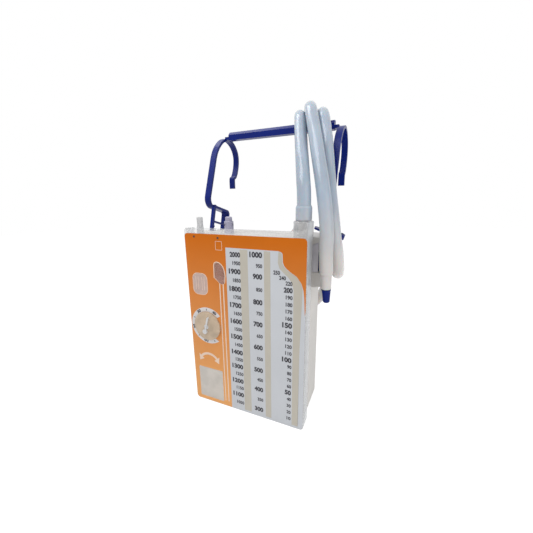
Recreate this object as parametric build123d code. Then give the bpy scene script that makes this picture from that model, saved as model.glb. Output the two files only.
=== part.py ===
from build123d import *
import os
from math import cos, radians, sin, tan

# Chest drain unit: a graduated collection tank with a clear front panel, a suction regulator,
# a one-piece hanger with two bed hooks, and a patient tube laid over the hanger's crossbar.
# Millimetres. +Z is up, the graduated front faces -Y, and the origin is the middle of the base.

# Housing
unit_width = 170.0
unit_depth = 94.0
deck_height = 252.0

# The sides and faces that other places are measured from
left_side = -unit_width / 2
right_side = unit_width / 2
front_y = -unit_depth / 2
rear_y = unit_depth / 2

# Walls and edges
rim_height = deck_height + 11.0
corner_radius = 5.0
panel_wall = 2.5
flange_depth = 20.0
flange_wall = 2.0
rim_bead = 3.0
panel_fit = 0.2
tank_inset = 5.0
tank_wall = 2.0
tank_corner = 8.0
divider_wall = 1.6
label_thickness = 0.3
label_top = rim_height - 7.0
label_margin = 0.6

# Clear places in the printed label: strips (left, right, bottom, top) and windows
strip_bottom = 4.0
strip_top = label_top - 18.0
short_strip_top = label_top - 42.0
strip_places = (
    (left_side + 84.0, left_side + 94.8, strip_top),
    (right_side - 53.3, right_side - 45.0, strip_top),
    (right_side - 15.3, right_side - 7.0, short_strip_top),
)
bellows_window = (left_side + 9.0, left_side + 32.3, label_top - 84.5, label_top - 54.2)
bellows_window_corner = 8.0
leak_window = (left_side + 44.4, left_side + 61.4, label_top - 55.0, label_top - 35.8)
sample_window = (left_side + 8.0, left_side + 49.5, 6.0, 57.5)
window_corner = 1.5

# Dividers between the chambers: place across the unit and height of each overflow edge
regulator_divider_x = left_side + 64.5
large_divider_x = right_side - 55.0
small_divider_x = right_side - 17.5
large_overflow = deck_height - 18.0
small_overflow = deck_height - 35.5
base_rib = 3.0
base_rib_pitch = 40.0

# Sockets for the hanger's legs, on both sides of the tank
socket_front = rear_y - 53.0
socket_rear = rear_y - 13.0
socket_low = deck_height - 63.0
socket_taper = 2.0
socket_cheek = 6.0
slot_fit = 0.3
window_low = deck_height - 45.0
window_high = deck_height - 9.0
window_rise = 5.0
window_side = 2.0
window_depth = 16.0

# Hanger: ribbon hooks, ladder legs and crossbar, as (depth, height) points of the ribbons' middle
leg_inner = right_side
leg_width = 13.3
rail_depth = 6.0
rail_width = 4.0
hook_inset = 5.6
hook_width = 9.2
ribbon = 4.0
strut_lean = 20.0
strut_foot = (rear_y - 24.8, deck_height + 38.2)
strut_top = deck_height + 108.0
foot_radius = 13.0
crown_front = (rear_y + 17.0, deck_height + 132.0)
crown_top = (rear_y + 43.0, deck_height + 143.5)
crown_rear = (rear_y + 65.5, deck_height + 133.5)
hook_bulge = (rear_y + 73.0, deck_height + 116.0)
hook_waist = (rear_y + 60.0, deck_height + 84.0)
hook_tip = (rear_y + 56.5, deck_height + 65.5)
leg_lean = 16.0
leg_corner = (rear_y + 24.5, deck_height + 26.0)
leg_corner_radius = 5.0
leg_bottom = deck_height - 47.0
rail_front_y = rear_y - 47.8
rail_bottom = deck_height - 60.0
rung_height = 2.8
rung_pitch = 25.0
rung_count = 3
snap_bump = 1.6
bar_front = rear_y + 32.0
bar_rear = rear_y + 43.5
bar_low = deck_height + 140.6
bar_high = deck_height + 153.2
bar_chamfer = 4.5
neck_height = 4.5

# Patient port and tube
port_x = right_side - 12.8
port_y = front_y + 26.5
socket_ring_outer = 12.0
socket_ring_inner = 10.4
socket_ring_top = deck_height + 21.0
port_wall_radius = 8.0
barb_outer = 6.4
barb_bore = 4.6
barb_top = socket_ring_top + 10.0
barb_flange = 9.6
cuff_outer = 9.7
cuff_top = barb_top + 8.0
tube_diameter = 16.6
tube_end_gap = 0.2
seat_gap = 0.3

# Far end of the tube
connector_length = 22.5
connector_tip = 4.6
connector_step = 6.9
connector_plug = 8.0
cap_length = 17.0
cap_rim = 6.1
cap_rim_height = 2.5
cap_body_top = 4.9
cap_body_end = 3.9
cap_wall = 1.2

# Slide clamp
clamp_height = 247.0
clamp_nose = 20.5
clamp_tail = 32.5
clamp_half = 10.4
clamp_tip = 6.0
clamp_thickness = 3.2
clamp_tilt = 18.0
clamp_turn = -18.0
clamp_hole_fit = 0.4
clamp_slot = 2.6
clamp_grip = 8.0

# Suction nozzle and vent valve
nozzle_x = left_side + 15.0
nozzle_y = front_y + 15.8
nozzle_base = 5.2
nozzle_tip = 4.1
nozzle_bore = 2.6
nozzle_flange = 7.5
nozzle_cone_top = deck_height + 14.0
nozzle_top = nozzle_cone_top + 10.0
filter_radius = 7.5
filter_height = 2.4
valve_x = left_side + 41.7
valve_y = front_y + 47.0
valve_radius = 6.6
valve_wall = 0.9
valve_rim = 1.5
button_fit = 0.05
button_lip = 1.2
valve_top = deck_height + 17.0
button_radius = 4.9
button_rise = 6.0
button_travel = 2.5
stem_radius = 1.8
spring_sides = 6
valve_spring_wire = 0.6
valve_spring_radius = 3.4
seal_height = 1.2
seal_hole = 2.4

# Regulator and its dial
dial_x = left_side + 29.0
dial_z = 125.8
dial_radius = 21.0
dial_edge = 2.2
dial_crown = 4.2
pointer_angle = 15.0
pointer_tip = 16.0
pointer_tail = 10.5
pointer_width = 2.2
pointer_hub = 3.4
pointer_rise = 1.6
shaft_radius = 3.5
shaft_fit = 0.05
shaft_hole_fit = 0.6
regulator_radius = 20.0
regulator_depth = 27.0
regulator_wall = 2.0
regulator_mid = 12.0
orifice_radius = 17.0
orifice_disc_thickness = 1.6
orifice_count = 8
diaphragm_thickness = 0.8
regulator_spring_wire = 1.0
regulator_spring_radius = 8.0

# Indicators behind the label's windows
bellows_x = left_side + 20.5
bellows_y = front_y + 13.5
bellows_radius = 9.0
bellows_waist = 7.2
bellows_top = bellows_window[3] - 1.8
bellows_fold = 4.0
bellows_folds = 5
bellows_holder = 2.0
bellows_reach = 18.0
indicator_height = 2.6
float_x = leak_window[1] - 5.6
float_radius = 2.9
float_low = leak_window[2] + 4.0
float_height = 10.5
channel_half = 4.4
channel_wall = 1.4
channel_depth = 8.0
channel_low = 8.0
channel_high = leak_window[3] + 5.8
chamber_half = 9.0
plug_radius = 1.3
plug_places = ((left_side + 16.0, label_top - 4.2), (left_side + 52.8, label_top - 4.6))

# One-way valve and inlet duct
duckbill_y = front_y + 57.0
duckbill_z = deck_height - 18.0
duckbill_radius = 7.0
duckbill_bore = 5.0
duckbill_flange = 2.0
duckbill_length = 16.0
duckbill_lip = 1.4
duct_outer = 5.6
duct_bore = 4.6
duct_bottom = deck_height - 26.0

panel_back = front_y + panel_wall
flange_back = front_y + flange_depth
half_width = unit_width / 2
leg_outer = leg_inner + leg_width
hook_inner = leg_inner + hook_inset
hook_outer = hook_inner + hook_width
socket_outer = leg_inner + rail_width + socket_cheek
tank_half = half_width - tank_inset
collar_half = half_width - flange_wall - panel_fit
inner_half = tank_half - tank_wall
cavity_rear = rear_y - tank_wall
cavity_top = deck_height - tank_wall
tube_radius = tube_diameter / 2

# The clamp's strand, as the two route points that it lies between
clamp_strand = (16, 17)

# The tube's route, one point for each corner, from the port to the far end
tube_route = [
    (port_x, port_y, barb_top + tube_end_gap),
    (port_x, port_y, 303.5),
    (68.8, -14.8, 322.0),
    (61.9, 3.1, 345.7),
    (52.0, 30.0, 373.8),
    (40.5, 62.6, 414.5),
    (24.4, 112.7, 414.4),
    (17.2, 145.0, 382.0),
    (18.9, 146.5, 336.1),
    (26.9, 136.0, 301.7),
    (25.6, 127.1, 243.1),
    (-18.9, 124.6, 208.9),
    (-34.3, 122.0, 162.0),
    (-8.0, 112.0, 117.5),
    (46.5, 100.8, 110.4),
    (84.1, 95.1, 149.8),
    (77.1, 91.8, 210.1),
    (75.0, 91.5, 270.9),
    (63.1, 120.3, 305.7),
    (56.0, 146.0, 341.9),
    (55.4, 143.5, 382.2),
    (60.4, 111.9, 415.0),
    (71.7, 62.3, 414.1),
    (84.9, 29.9, 370.4),
    (89.3, 26.2, 339.6),
    (94.9, 15.6, 306.5),
    (104.5, -4.4, 267.8),
    (109.5, -0.2, 226.8),
    (107.7, 31.3, 195.8),
    (102.8, 75.7, 194.7),
    (93.3, 112.3, 227.6),
    (77.1, 125.0, 277.1),
    (65.2, 152.2, 318.0),
    (49.0, 166.8, 359.7),
    (39.6, 154.5, 395.8),
    (40.5, 116.1, 424.3),
    (55.6, 57.0, 422.9),
    (73.0, 19.1, 375.9),
    (81.9, 2.8, 346.5),
    (90.2, -9.8, 317.3),
    (96.6, -17.6, 288.1),
    (100.6, -21.4, 262.0),
    (100.2, -21.4, 238.0),
    (101.2, -20.5, 214.5),
]


def block(x, y, z):
    """Box between two corners, given as a (low, high) pair for each axis."""
    low, high = zip(x, y, z)
    size = [b - a for a, b in zip(low, high)]
    middle = [(a + b) / 2 for a, b in zip(low, high)]
    return Pos(*middle) * Box(*size)


def prism(plane, points, near, far):
    """Flat-sided solid of an outline, between two distances along the plane's normal."""
    face = make_face(plane.offset(near) * Polyline(*points, close=True))
    return extrude(face, far - near, dir=plane.z_dir)


def turned(points, x, y):
    """Solid of revolution about an upright axis at x, y, from (radius, height) points."""
    outline = make_face(Plane.XZ * Polyline(*points, close=True))
    return Pos(x, y, 0) * revolve(outline, Axis.Z)


def upright(radius, x, y, low, high):
    """Upright cylinder between two heights."""
    return Pos(x, y, (low + high) / 2) * Cylinder(radius, high - low)


def level(radius, x, z, near, far):
    """Cylinder along Y between two depths."""
    return Pos(x, (near + far) / 2, z) * Rot(90, 0, 0) * Cylinder(radius, far - near)


def both_sides(shape):
    """The shape and its mirror image on the other side of the unit."""
    return [shape, mirror(shape, Plane.YZ)]


def joined(shapes):
    """Union of a list of shapes."""
    result = shapes[0]
    for shape in shapes[1:]:
        result += shape
    return result


def coil(radius, wire, pitch, height):
    """Round-wire spring along Z, standing on the plane z = 0."""
    path = Helix(pitch, height - wire, radius)
    section = Plane(origin=path @ 0, z_dir=path % 0) * RegularPolygon(wire / 2, spring_sides)
    return Pos(0, 0, wire / 2) * sweep(section, path)


def rounded_slab(x, z, radius, y):
    """Upright slab with rounded corners, seen from the front, between two depths."""
    width, height = x[1] - x[0], z[1] - z[0]
    middle = Pos((x[0] + x[1]) / 2, (z[0] + z[1]) / 2)
    outline = Plane.XZ * middle * RectangleRounded(width, height, radius)
    return Pos(0, y[1], 0) * extrude(outline, y[1] - y[0])


# Rear tank

def socket_shell():
    """Outer form of the right hanger socket, with a lower end that tapers into the wall."""
    outline = [
        (tank_half - tank_wall / 2, socket_low - socket_taper),
        (tank_half + tank_wall, socket_low - socket_taper),
        (socket_outer, socket_low),
        (socket_outer, deck_height),
        (tank_half - tank_wall / 2, deck_height),
    ]
    shell = prism(Plane.XZ, outline, -socket_rear, -socket_front)
    corner = shell.edges().filter_by(Axis.Z).group_by(Axis.X)[-1]
    return fillet(corner, tank_wall)


def socket_slot():
    """Leaning slot in the right socket for the leg's ladder, open at the top and the rear."""
    clear = slot_fit
    slope = tan(radians(leg_lean))
    low = rail_bottom - clear
    high = deck_height + 1
    front_low = rail_front_y + (low - rail_bottom) * slope - clear
    front_high = rail_front_y + (high - rail_bottom) * slope - clear
    outline = [(front_low, low), (socket_rear + 1, low), (socket_rear + 1, high), (front_high, high)]
    return prism(Plane.YZ, outline, leg_inner - clear, leg_inner + rail_width + clear)


def socket_window():
    """Opening in the socket's front through which the leg shows."""
    outline = [
        (tank_half, window_low),
        (socket_outer - window_side, window_low),
        (socket_outer - window_side, window_high + window_rise),
        (tank_half, window_high),
    ]
    return prism(Plane.XZ, outline, -socket_front - window_depth, -socket_front + 1)


def rear_tank():
    """Open-fronted moulded tank with overflow dividers, base ribs, a ported deck and two sockets."""
    body = block((-tank_half, tank_half), (panel_back, rear_y), (0, deck_height))
    rear_edges = body.edges().filter_by(Axis.Z).group_by(Axis.Y)[-1]
    body = fillet(rear_edges, tank_corner)
    step = flange_wall + panel_fit
    collar = block((-collar_half, collar_half), (panel_back, flange_back - 1), (step, deck_height))
    lower_edges = collar.edges().filter_by(Axis.Y).group_by(Axis.Z)[0]
    body += fillet(lower_edges, corner_radius - flange_wall + panel_fit)
    body += both_sides(socket_shell())
    body -= both_sides(socket_slot())
    body -= both_sides(socket_window())
    cavity = block((-inner_half, inner_half), (panel_back - 1, cavity_rear), (tank_wall, cavity_top))
    cavity = fillet(cavity.edges().filter_by(Axis.Z).group_by(Axis.Y)[-1], tank_corner - tank_wall)
    body -= cavity
    sill = (panel_back, flange_back + tank_wall)
    body += block((-inner_half - 1, inner_half + 1), sill, (step, step + tank_wall))
    body -= block((-half_width, half_width), (panel_back - 1, flange_back + panel_fit), (-1, step))
    walls = (
        (regulator_divider_x, cavity_top),
        (large_divider_x, large_overflow),
        (small_divider_x, small_overflow),
    )
    depth = (panel_back, cavity_rear + 0.5)
    for x, top in walls:
        body += block((x - divider_wall / 2, x + divider_wall / 2), depth, (step, top))
    ribs = int((inner_half - regulator_divider_x) / base_rib_pitch)
    for i in range(ribs):
        x = regulator_divider_x + (i + 0.5) * base_rib_pitch
        body += block((x - 1, x + 1), (0, cavity_rear + 0.5), (1, tank_wall + base_rib))
    valve_hole = Rot(0, 90, 0) * Cylinder(duckbill_bore, 2 * divider_wall)
    body -= Pos(regulator_divider_x, duckbill_y, duckbill_z) * valve_hole
    body -= upright(duct_outer + seat_gap, port_x, port_y, cavity_top - 1, deck_height + 1)
    body -= upright(nozzle_bore + seat_gap, nozzle_x, nozzle_y, cavity_top - 1, deck_height + 1)
    body -= upright(seal_hole, valve_x, valve_y, cavity_top - 1, deck_height + 1)
    return body


# Front panel and label

def port_wall():
    """Raised right end of the panel beside the patient port, blended into the rim's top edge."""
    inner = right_side - flange_wall
    low = rim_height - corner_radius
    side = block((inner, right_side), (front_y, flange_back), (low, socket_ring_top))
    top_edge = side.edges().filter_by(Axis.X).group_by(Axis.Z)[-1]
    side = fillet(top_edge, 2 * flange_wall)
    foot = inner - port_wall_radius
    blend = block((foot, right_side), (front_y, panel_back), (low, rim_height + port_wall_radius))
    blend -= level(port_wall_radius, foot, rim_height + port_wall_radius, front_y - 1, panel_back + 1)
    return side + blend


def front_panel():
    """Clear panel: a plate that stands above the deck as a rim, with side and bottom flanges."""
    outer = rounded_slab((-half_width, half_width), (0, rim_height), corner_radius, (front_y, flange_back))
    hollow = rounded_slab(
        (-half_width + flange_wall, half_width - flange_wall),
        (flange_wall, rim_height + 2 * corner_radius),
        corner_radius - flange_wall,
        (panel_back, flange_back + 1),
    )
    panel = outer - hollow
    reach = half_width - corner_radius
    bead = (rim_height - rim_bead, rim_height)
    panel += block((-reach, reach), (panel_back, panel_back + rim_bead), bead)
    panel += port_wall()
    panel -= level(shaft_radius + shaft_hole_fit, dial_x, dial_z, front_y - 1, panel_back + 1)
    for x, z in plug_places:
        panel -= level(plug_radius, x, z, front_y - 1, panel_back + 1)
    return panel


def front_label():
    """Printed film on the panel, with openings for the dial's shaft and the two plugs."""
    reach = half_width - label_margin
    film = rounded_slab(
        (-reach, reach),
        (label_margin, label_top),
        corner_radius - label_margin,
        (front_y - label_thickness, front_y),
    )
    film -= level(shaft_radius + shaft_hole_fit, dial_x, dial_z, front_y - 1, front_y + 1)
    for x, z in plug_places:
        film -= level(plug_radius, x, z, front_y - 1, front_y + 1)
    through = (front_y - 1, front_y + 1)
    for left, right, top in strip_places:
        film -= block((left, right), through, (strip_bottom, top))
    left, right, bottom, top = bellows_window
    film -= rounded_slab((left, right), (bottom, top), bellows_window_corner, through)
    left, right, bottom, top = leak_window
    film -= rounded_slab((left, right), (bottom, top), window_corner, through)
    left, right, bottom, top = sample_window
    film -= rounded_slab((left, right), (bottom, top), window_corner, through)
    return film


def access_plugs():
    """Two small rubber plugs with domed heads in the panel's holes."""
    plugs = []
    for x, z in plug_places:
        stem = level(plug_radius, x, z, front_y - label_thickness - 0.4, panel_back)
        plugs.append(stem)
    return Compound(children=plugs)


# Patient port

def inlet_socket():
    """Clear collar that stands on the deck round the spigot."""
    return turned(
        [
            (socket_ring_inner, deck_height),
            (socket_ring_outer + 0.4, deck_height),
            (socket_ring_outer, deck_height + 3),
            (socket_ring_outer, socket_ring_top - 0.8),
            (socket_ring_outer - 0.6, socket_ring_top),
            (socket_ring_inner, socket_ring_top),
        ],
        port_x,
        port_y,
    )


def inlet_barb():
    """Flanged spigot on the deck, with two soft ridges that grip the cuff."""
    ridge = 0.1
    return turned(
        [
            (barb_bore, deck_height),
            (barb_flange, deck_height),
            (barb_flange, deck_height + 2),
            (barb_outer - ridge, deck_height + 3),
            (barb_outer - ridge, socket_ring_top + 2),
            (barb_outer, socket_ring_top + 3),
            (barb_outer - ridge, socket_ring_top + 5),
            (barb_outer, socket_ring_top + 6),
            (barb_outer - 1, barb_top),
            (barb_bore, barb_top),
        ],
        port_x,
        port_y,
    )


def inlet_duct():
    """Pipe from under the deck into the first chamber."""
    return turned(
        [
            (duct_bore, duct_bottom),
            (duct_outer, duct_bottom + 1),
            (duct_outer, deck_height),
            (duct_bore, deck_height),
        ],
        port_x,
        port_y,
    )


def tube_cuff():
    """Moulded cuff that grips the spigot below and holds the tube above."""
    low = socket_ring_top + seat_gap
    return turned(
        [
            (barb_outer + 0.05, low),
            (cuff_outer - 0.5, low),
            (cuff_outer, low + 1.5),
            (cuff_outer, cuff_top - 2.5),
            (tube_radius + 0.5, cuff_top),
            (tube_radius + 0.05, cuff_top),
            (tube_radius + 0.05, barb_top),
            (barb_outer + 0.05, barb_top),
        ],
        port_x,
        port_y,
    )


# Tube and what is on it

def corner_radii(points):
    """The largest arc that each corner's two runs allow, as in a cord that bends gently."""
    radii = []
    for before, corner, after in zip(points, points[1:], points[2:]):
        first = Vector(*corner) - Vector(*before)
        second = Vector(*after) - Vector(*corner)
        half_turn = radians(first.get_angle(second)) / 2
        radii.append(0.45 * min(first.length, second.length) / tan(half_turn))
    return radii


def patient_tube():
    """The tube along its whole route, as one solid of its outer diameter."""
    radii = corner_radii(tube_route)
    path = FilletPolyline(*tube_route, radius=radii)
    section = Plane(origin=path @ 0, z_dir=path % 0) * Circle(tube_radius)
    tube = sweep(section, path)
    expected = path.length * section.area
    print("tube length", round(path.length), "volume ratio", round(tube.volume / expected, 4))
    print("tube radii", [round(r) for r in radii])
    return tube


def end_frame():
    """Plane at the tube's far end, with its Z along the tube."""
    last = Vector(*tube_route[-1])
    return Plane(origin=last, z_dir=last - Vector(*tube_route[-2]))


def end_turned(points):
    """Solid of revolution about the tube's end, from (radius, distance past the end) points."""
    outline = make_face(Plane.XZ * Polyline(*points, close=True))
    return end_frame() * revolve(outline, Axis.Z)


def tube_connector():
    """Stepped connector: a shoulder against the tube's end, then a tapered stem under the cap."""
    return end_turned(
        [
            (2.6, 0),
            (connector_plug, 0),
            (connector_plug, 3),
            (connector_step, 6),
            (connector_step - 0.8, connector_length),
            (connector_tip, connector_length + 0.5),
            (cap_body_end - cap_wall - seat_gap, connector_length + cap_length - 3),
            (2.0, connector_length + cap_length - 3),
        ]
    )


def connector_cap():
    """Tapered cap with a flared rim, closed at its far end."""
    start = connector_length + 0.5 + seat_gap
    end = start + cap_length
    fit = seat_gap
    return end_turned(
        [
            (connector_tip + fit, start),
            (cap_rim, start),
            (cap_body_top + 0.5, start + cap_rim_height),
            (cap_body_end + 0.3, end - 1),
            (cap_body_end - 0.6, end),
            (0, end),
            (0, end - cap_wall),
            (cap_body_end - cap_wall + 0.1, end - cap_wall),
        ]
    )


def tube_clamp():
    """Slide clamp: a plate with a keyhole round the tube, a pointed nose and an end grip."""
    bend = clamp_half
    end = clamp_tail - bend
    outline = [
        (-clamp_nose, 0),
        (clamp_tip - clamp_nose, bend),
        (end, bend),
        (end, -bend),
        (clamp_tip - clamp_nose, -bend),
    ]
    body = extrude(make_face(Polyline(*outline, close=True)), clamp_thickness)
    body += Pos(end, 0, 0) * extrude(Circle(bend), clamp_thickness)
    rim = Pos(end, 0, 0) * (Circle(bend) - Circle(bend - 2))
    inner_side = block((-clamp_nose, end), (-bend, bend), (clamp_thickness, clamp_grip))
    body += extrude(rim, clamp_grip) - inner_side
    body -= block((0, end), (-clamp_slot / 2, clamp_slot / 2), (-1, clamp_thickness + 1))
    below, above = clamp_strand
    low, high = tube_route[below], tube_route[above]
    share = (clamp_height - low[2]) / (high[2] - low[2])
    centre = [a + (b - a) * share for a, b in zip(low, high)]
    strand = Plane(origin=centre, z_dir=Vector(*high) - Vector(*low))
    hole = strand * Cylinder(tube_radius + clamp_hole_fit, 6 * clamp_thickness)
    return Pos(*centre) * Rot(0, clamp_tilt, 0) * Rot(0, 0, clamp_turn) * body - hole


# Hanger

def strut_start():
    """Top of the straight strut, where the crown begins."""
    foot_y, foot_z = strut_foot
    return (foot_y + (strut_top - foot_z) * tan(radians(strut_lean)), strut_top)


def hook_line():
    """Middle line of a hook in the YZ plane, from the shoulder round foot and crown to the tip."""
    lean = radians(strut_lean)
    start = strut_start()
    foot_y, foot_z = strut_foot
    corner_y, corner_z = leg_corner
    share = 1.5 * foot_radius / (corner_y - foot_y)
    behind = (foot_y + (corner_y - foot_y) * share, foot_z + (corner_z - foot_z) * share)
    foot = FilletPolyline(behind, strut_foot, start, radius=foot_radius)
    places = [start, crown_front, crown_top, crown_rear, hook_bulge, hook_waist, hook_tip]
    return foot + Spline(*places, tangents=[(sin(lean), cos(lean)), (0.05, -1)])


def ribbon_solid(line, low, high, width):
    """Ribbon of the given width along a line in the YZ plane, between two places along X."""
    face = Plane.YZ * trace(line, width)
    return Pos(low, 0, 0) * extrude(face, high - low)


def rail_y(z):
    """Front edge of the leaning front rail at a height."""
    return rail_front_y + (z - rail_bottom) * tan(radians(leg_lean))


def leg_line():
    """Middle line of the ribbon from the strut's foot over the shoulder and down the rear leg."""
    foot_y, foot_z = strut_foot
    corner_y, corner_z = leg_corner
    bottom = (corner_y - (corner_z - leg_bottom) * tan(radians(leg_lean)), leg_bottom)
    rise = 1.5 * foot_radius
    start = (foot_y + rise * tan(radians(strut_lean)), foot_z + rise)
    return FilletPolyline(start, strut_foot, leg_corner, bottom, radius=[foot_radius, leg_corner_radius])


def side_frame():
    """Right hook and its ladder leg."""
    frame = ribbon_solid(hook_line(), hook_inner, hook_outer, ribbon)
    leg = ribbon_solid(leg_line(), leg_inner, leg_outer, ribbon)
    above = (strut_foot[1] + ribbon / 4, strut_top)
    frame += leg - block((0, hook_outer + ribbon), (0, leg_corner[0]), above)
    top = strut_foot[1] - ribbon / 2
    rail = [
        (rail_y(rail_bottom), rail_bottom),
        (rail_y(top), top),
        (rail_y(top) + rail_depth, top),
        (rail_y(rail_bottom) + rail_depth, rail_bottom),
    ]
    frame += prism(Plane.YZ, rail, leg_inner, leg_inner + rail_width)
    drop_y, drop_z = leg_corner[0] - strut_foot[0], leg_corner[1] - strut_foot[1]
    slope = drop_z / drop_y
    for i in range(1, rung_count + 1):
        shift = i * rung_pitch
        z_front = strut_foot[1] - shift
        y_front = rail_y(z_front) + 1
        y_rear = leg_corner[0] - shift * tan(radians(leg_lean))
        z_rear = z_front + (y_rear - y_front) * slope
        rung = [
            (y_front, z_front),
            (y_rear, z_rear),
            (y_rear, z_rear + rung_height),
            (y_front, z_front + rung_height),
        ]
        frame += prism(Plane.YZ, rung, leg_inner, leg_inner + rail_width)
    bump_z = strut_foot[1] - rung_pitch - 7
    bump_y = rail_y(bump_z) + rail_depth
    bump = Rot(0, 90, 0) * Cylinder(snap_bump, rail_width)
    return frame + Pos(leg_inner + rail_width / 2, bump_y, bump_z) * bump


def hanger():
    """One moulding: two hooks on ladder legs, joined by a crossbar at the crowns."""
    section = [
        (bar_front, bar_low),
        (bar_rear, bar_low),
        (bar_rear, bar_high),
        (bar_front + bar_chamfer, bar_high),
        (bar_front, bar_high - bar_chamfer),
    ]
    bar = prism(Plane.YZ, section, -leg_inner, leg_inner)
    low = crown_top[1] - ribbon / 2
    neck = block((leg_inner - 1, hook_inner + 1), (bar_front, bar_rear), (low, low + neck_height))
    return joined([bar] + both_sides(neck) + both_sides(side_frame()))


# Suction nozzle, filter and vent valve

def suction_port():
    """Tapered hose nozzle on a round flange."""
    return turned(
        [
            (nozzle_bore, deck_height),
            (nozzle_flange, deck_height),
            (nozzle_flange, deck_height + 1.6),
            (nozzle_base, deck_height + 2.4),
            (nozzle_tip, nozzle_cone_top),
            (nozzle_tip, nozzle_top - 0.5),
            (nozzle_tip - 0.5, nozzle_top),
            (nozzle_bore, nozzle_top),
        ],
        nozzle_x,
        nozzle_y,
    )


def suction_filter():
    """Filter disc in a holder under the deck."""
    return upright(filter_radius, nozzle_x, nozzle_y, cavity_top - filter_height, cavity_top)


def relief_body():
    """Valve cup on the deck, with a seat hole and an open top that guides the button."""
    inner = valve_radius - valve_wall
    cup = turned(
        [
            (seal_hole, deck_height),
            (valve_radius + 0.6, deck_height),
            (valve_radius, deck_height + 2),
            (valve_radius, valve_top - 0.8),
            (valve_radius - 0.6, valve_top),
            (button_radius + button_fit, valve_top),
            (button_radius + button_fit, valve_top - valve_rim),
            (inner, valve_top - valve_rim),
            (inner, deck_height + 1.5),
            (seal_hole, deck_height + 1.5),
        ],
        valve_x,
        valve_y,
    )
    for angle in (0, 120, 240):
        hole = Pos(valve_x, valve_y, valve_top - 5) * Rot(0, 0, angle) * Pos(valve_radius, 0, 0)
        cup -= hole * Box(2 * valve_wall + 1, 2.4, 3)
    return cup


def relief_seal():
    """Rubber ring on the valve's seat."""
    low = deck_height + 1.5
    outer = valve_radius - valve_wall - 0.3
    ring = [(seal_hole, low), (outer, low), (outer, low + seal_height), (seal_hole, low + seal_height)]
    return turned(ring, valve_x, valve_y)


def spring_seat():
    """Height of the top of the valve's seal, where the spring stands."""
    return deck_height + 1.5 + seal_height


def relief_button():
    """Push button with a lip that stays inside the cup, and a stem inside the spring."""
    shoulder = valve_top - valve_rim
    lip = valve_radius - valve_wall - button_fit
    return turned(
        [
            (0, spring_seat() + button_travel + 1),
            (stem_radius, spring_seat() + button_travel + 1),
            (stem_radius, shoulder - button_lip),
            (lip, shoulder - button_lip),
            (lip, shoulder),
            (button_radius, shoulder),
            (button_radius, valve_top + button_rise - 1),
            (button_radius - 1, valve_top + button_rise),
            (0, valve_top + button_rise),
        ],
        valve_x,
        valve_y,
    )


def relief_spring():
    """Spring between the seal and the button's head."""
    top = valve_top - valve_rim - button_lip
    height = top - spring_seat()
    spring = coil(valve_spring_radius, valve_spring_wire, height / 4, height)
    return Pos(valve_x, valve_y, spring_seat()) * spring


# Regulator

def knob_base():
    """Depth of the dial's back face, just clear of the label."""
    return front_y - label_thickness - seat_gap


def dial_knob():
    """Round dial with a low domed face, pressed on the shaft."""
    back = knob_base()
    dome = (dial_radius**2 + (dial_crown - dial_edge) ** 2) / (2 * (dial_crown - dial_edge))
    edge = (dial_radius, -dial_edge)
    shoulder = (dial_radius / 2, dome - dial_crown - (dome**2 - dial_radius**2 / 4) ** 0.5)
    middle = (shaft_radius, -dial_crown)
    outline = Polyline((shaft_radius, 0), (dial_radius, 0), edge)
    outline += ThreePointArc(edge, shoulder, middle)
    outline += Line(middle, (shaft_radius, 0))
    profile = make_face(Plane.XY * outline)
    return Pos(dial_x, back, dial_z) * revolve(profile, Axis.Y)


def dial_pointer():
    """Slim pointer rib with a round hub near its tail, on the dial's face."""
    front = knob_base() - dial_edge
    slot = SlotOverall(pointer_tip + pointer_tail, pointer_width)
    rib = Plane.XZ * Pos((pointer_tip - pointer_tail) / 2, 0) * slot
    hub = Plane.XZ * Pos(-pointer_tail + pointer_hub, 0) * Circle(pointer_hub)
    height = dial_crown - dial_edge + pointer_rise
    pointer = extrude(rib, height) + extrude(hub, height + 0.5)
    place = Pos(dial_x, front, dial_z) * Rot(0, pointer_angle - 90, 0)
    return place * pointer - dial_knob() - dial_shaft()


def dial_shaft():
    """Shaft from the dial through the panel to the orifice disc."""
    return level(shaft_radius, dial_x, dial_z, knob_base() - dial_crown, panel_back + regulator_mid - seat_gap)


def regulator_body():
    """Round housing behind the panel: a cell for the orifice disc and a cell for the spring."""
    rear = panel_back + regulator_depth
    front_cell = panel_back + regulator_wall
    middle = panel_back + regulator_mid
    inner = regulator_radius - regulator_wall
    body = level(regulator_radius, dial_x, dial_z, panel_back, rear)
    body -= level(inner, dial_x, dial_z, front_cell, middle)
    body -= level(shaft_radius + shaft_fit, dial_x, dial_z, panel_back - 1, front_cell + 1)
    body -= level(inner, dial_x, dial_z, middle + regulator_wall, rear - regulator_wall)
    body -= level(2.0, dial_x, dial_z, rear - regulator_wall - 1, rear + 1)
    return body


def orifice_disc():
    """Disc of graded holes on the shaft's inner end."""
    near = panel_back + regulator_mid - seat_gap - orifice_disc_thickness
    far = panel_back + regulator_mid - seat_gap
    disc = level(orifice_radius, dial_x, dial_z, near, far)
    disc -= level(shaft_radius, dial_x, dial_z, near - 1, far + 1)
    for i in range(orifice_count):
        angle = radians(360 / orifice_count * i)
        x = dial_x + (orifice_radius - 5) * cos(angle)
        z = dial_z + (orifice_radius - 5) * sin(angle)
        disc -= level(0.6 + 0.15 * i, x, z, near - 1, far + 1)
    return disc


def diaphragm_face():
    """Depth of the rear face of the diaphragm, which rests on the middle wall."""
    return panel_back + regulator_mid + regulator_wall + diaphragm_thickness


def regulator_diaphragm():
    """Rubber diaphragm on the housing's middle wall."""
    radius = regulator_radius - regulator_wall - 0.3
    return level(radius, dial_x, dial_z, diaphragm_face() - diaphragm_thickness, diaphragm_face())


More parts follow.
